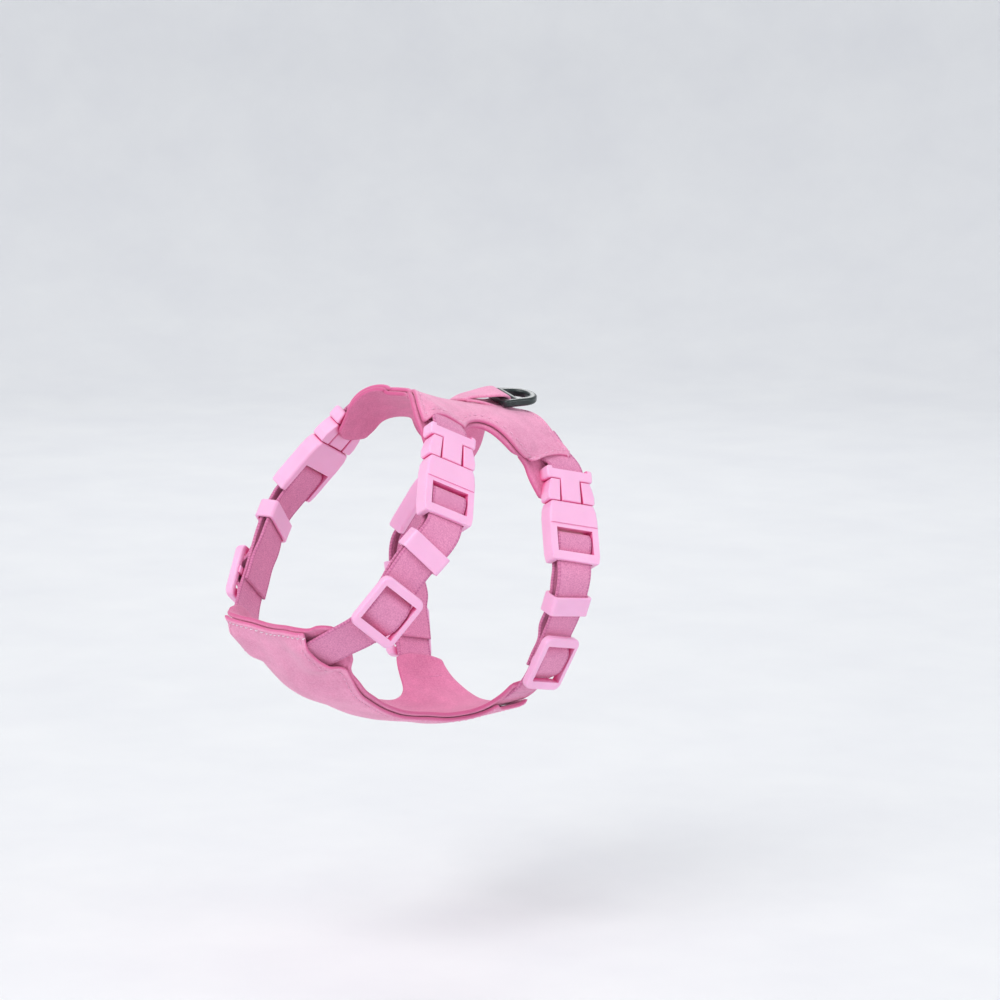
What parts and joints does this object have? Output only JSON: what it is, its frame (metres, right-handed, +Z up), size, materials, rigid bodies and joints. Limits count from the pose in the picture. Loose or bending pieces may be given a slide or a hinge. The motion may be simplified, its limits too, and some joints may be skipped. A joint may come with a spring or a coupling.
{
  "type": "no pull harness",
  "caption": "Small dog no pull harness: suede back and chest panels joined by adjustable webbing straps with side-release buckles, keepers and sliders, and a leash ring on the back.",
  "frame": {"origin": "centre of the girth opening, where the wearer's trunk passes", "axes": "+Y towards the wearer's tail, +Z up, +X to the wearer's left"},
  "size_m": [0.1024, 0.1352, 0.1296],
  "materials": {
    "suede": "short felted suede",
    "webbing": "flat woven",
    "buckle_plastic": "satin moulded",
    "ring_metal": "black paint on steel"
  },
  "bodies": {
    "harness": {"back_panel_outer": "suede", "back_panel_lining": "suede", "leash_ring_tab": "suede", "chest_panel_outer": "suede", "chest_panel_lining": "suede", "neck_left_webbing_tab": "webbing", "neck_left_buckle_male": "buckle_plastic", "neck_left_strap": "webbing", "girth_left_webbing_tab": "webbing", "girth_left_buckle_male": "buckle_plastic", "girth_left_strap": "webbing", "neck_right_webbing_tab": "webbing", "neck_right_buckle_male": "buckle_plastic", "neck_right_strap": "webbing", "girth_right_webbing_tab": "webbing", "girth_right_buckle_male": "buckle_plastic", "girth_right_strap": "webbing"},
    "leash_ring": {"leash_ring": "ring_metal"},
    "neck_left_socket": {"neck_left_buckle_socket": "buckle_plastic"},
    "neck_left_keeper": {"neck_left_keeper": "buckle_plastic"},
    "neck_left_slider": {"neck_left_slider": "buckle_plastic"},
    "neck_left_prong_front": {"neck_left_prong_front": "buckle_plastic"},
    "neck_left_prong_rear": {"neck_left_prong_rear": "buckle_plastic"},
    "girth_left_socket": {"girth_left_buckle_socket": "buckle_plastic"},
    "girth_left_keeper": {"girth_left_keeper": "buckle_plastic"},
    "girth_left_slider": {"girth_left_slider": "buckle_plastic"},
    "girth_left_prong_front": {"girth_left_prong_front": "buckle_plastic"},
    "girth_left_prong_rear": {"girth_left_prong_rear": "buckle_plastic"},
    "neck_right_socket": {"neck_right_buckle_socket": "buckle_plastic"},
    "neck_right_keeper": {"neck_right_keeper": "buckle_plastic"},
    "neck_right_slider": {"neck_right_slider": "buckle_plastic"},
    "neck_right_prong_front": {"neck_right_prong_front": "buckle_plastic"},
    "neck_right_prong_rear": {"neck_right_prong_rear": "buckle_plastic"},
    "girth_right_socket": {"girth_right_buckle_socket": "buckle_plastic"},
    "girth_right_keeper": {"girth_right_keeper": "buckle_plastic"},
    "girth_right_slider": {"girth_right_slider": "buckle_plastic"},
    "girth_right_prong_front": {"girth_right_prong_front": "buckle_plastic"},
    "girth_right_prong_rear": {"girth_right_prong_rear": "buckle_plastic"}
  },
  "joints": [
    {"name": "leash_ring_swing", "type": "hinge", "parent": "harness", "child": "leash_ring", "pos_m": [0, -0.0036, 0.0592], "axis": [0.9473, -0.2923, -0.131], "range_deg": [0, 95]},
    {"name": "neck_left_release", "type": "slide", "parent": "harness", "child": "neck_left_socket", "axis": [0.4396, -0.4796, -0.7594], "range_m": [0, 0.014], "deforming": ["neck_left_strap"]},
    {"name": "neck_left_keeper_slide", "type": "slide", "parent": "harness", "child": "neck_left_keeper", "axis": [-0.2633, -0.6506, -0.7123], "range_m": [0, 0.007]},
    {"name": "neck_left_slider_slide", "type": "slide", "parent": "harness", "child": "neck_left_slider", "axis": [-0.3202, -0.5605, -0.7637], "range_m": [-0.004, 0.004]},
    {"name": "neck_left_prong_front_squeeze", "type": "hinge", "parent": "harness", "child": "neck_left_prong_front", "pos_m": [0.0277, -0.06083, 0.05265], "axis": [0.8652, -0.0008, 0.5014], "range_deg": [0, 3], "stiffness_Nm_per_rad": 0.02},
    {"name": "neck_left_prong_rear_squeeze", "type": "hinge", "parent": "harness", "child": "neck_left_prong_rear", "pos_m": [0.03083, -0.04942, 0.04726], "axis": [0.8652, -0.0008, 0.5014], "range_deg": [-3, 0], "stiffness_Nm_per_rad": 0.02},
    {"name": "girth_left_release", "type": "slide", "parent": "harness", "child": "girth_left_socket", "axis": [0.4202, -0.3001, -0.8564], "range_m": [0, 0.014], "deforming": ["girth_left_strap"]},
    {"name": "girth_left_keeper_slide", "type": "slide", "parent": "harness", "child": "girth_left_keeper", "axis": [-0.2753, -0.1013, -0.956], "range_m": [0, 0.007]},
    {"name": "girth_left_slider_slide", "type": "slide", "parent": "harness", "child": "girth_left_slider", "axis": [-0.3457, -0.2405, -0.907], "range_m": [-0.004, 0.004]},
    {"name": "girth_left_prong_front_squeeze", "type": "hinge", "parent": "harness", "child": "girth_left_prong_front", "pos_m": [0.03139, -0.00442, 0.03072], "axis": [0.8799, -0.0958, 0.4653], "range_deg": [0, 3], "stiffness_Nm_per_rad": 0.02},
    {"name": "girth_left_prong_rear_squeeze", "type": "hinge", "parent": "harness", "child": "girth_left_prong_rear", "pos_m": [0.03427, 0.00792, 0.02781], "axis": [0.8799, -0.0958, 0.4653], "range_deg": [-3, 0], "stiffness_Nm_per_rad": 0.02},
    {"name": "neck_right_release", "type": "slide", "parent": "harness", "child": "neck_right_socket", "axis": [-0.4396, -0.4796, -0.7594], "range_m": [0, 0.014], "deforming": ["neck_right_strap"]},
    {"name": "neck_right_keeper_slide", "type": "slide", "parent": "harness", "child": "neck_right_keeper", "axis": [0.2633, -0.6506, -0.7123], "range_m": [0, 0.007]},
    {"name": "neck_right_slider_slide", "type": "slide", "parent": "harness", "child": "neck_right_slider", "axis": [0.3202, -0.5605, -0.7637], "range_m": [-0.004, 0.004]},
    {"name": "neck_right_prong_front_squeeze", "type": "hinge", "parent": "harness", "child": "neck_right_prong_front", "pos_m": [-0.0277, -0.06083, 0.05265], "axis": [0.8652, 0.0008, -0.5014], "range_deg": [0, 3], "stiffness_Nm_per_rad": 0.02},
    {"name": "neck_right_prong_rear_squeeze", "type": "hinge", "parent": "harness", "child": "neck_right_prong_rear", "pos_m": [-0.03083, -0.04942, 0.04726], "axis": [0.8652, 0.0008, -0.5014], "range_deg": [-3, 0], "stiffness_Nm_per_rad": 0.02},
    {"name": "girth_right_release", "type": "slide", "parent": "harness", "child": "girth_right_socket", "axis": [-0.4202, -0.3001, -0.8564], "range_m": [0, 0.014], "deforming": ["girth_right_strap"]},
    {"name": "girth_right_keeper_slide", "type": "slide", "parent": "harness", "child": "girth_right_keeper", "axis": [0.2753, -0.1013, -0.956], "range_m": [0, 0.007]},
    {"name": "girth_right_slider_slide", "type": "slide", "parent": "harness", "child": "girth_right_slider", "axis": [0.3457, -0.2405, -0.907], "range_m": [-0.004, 0.004]},
    {"name": "girth_right_prong_front_squeeze", "type": "hinge", "parent": "harness", "child": "girth_right_prong_front", "pos_m": [-0.03139, -0.00442, 0.03072], "axis": [0.8799, 0.0958, -0.4653], "range_deg": [0, 3], "stiffness_Nm_per_rad": 0.02},
    {"name": "girth_right_prong_rear_squeeze", "type": "hinge", "parent": "harness", "child": "girth_right_prong_rear", "pos_m": [-0.03427, 0.00792, 0.02781], "axis": [0.8799, 0.0958, -0.4653], "range_deg": [-3, 0], "stiffness_Nm_per_rad": 0.02}
  ],
  "couplings": [
    {"joint": "neck_left_keeper_slide", "follows": "neck_left_release", "ratio": 0.5},
    {"joint": "neck_left_prong_rear_squeeze", "follows": "neck_left_prong_front_squeeze", "ratio": -1},
    {"joint": "girth_left_keeper_slide", "follows": "girth_left_release", "ratio": 0.5},
    {"joint": "girth_left_prong_rear_squeeze", "follows": "girth_left_prong_front_squeeze", "ratio": -1},
    {"joint": "neck_right_keeper_slide", "follows": "neck_right_release", "ratio": 0.5},
    {"joint": "neck_right_prong_rear_squeeze", "follows": "neck_right_prong_front_squeeze", "ratio": -1},
    {"joint": "girth_right_keeper_slide", "follows": "girth_right_release", "ratio": 0.5},
    {"joint": "girth_right_prong_rear_squeeze", "follows": "girth_right_prong_front_squeeze", "ratio": -1}
  ]
}
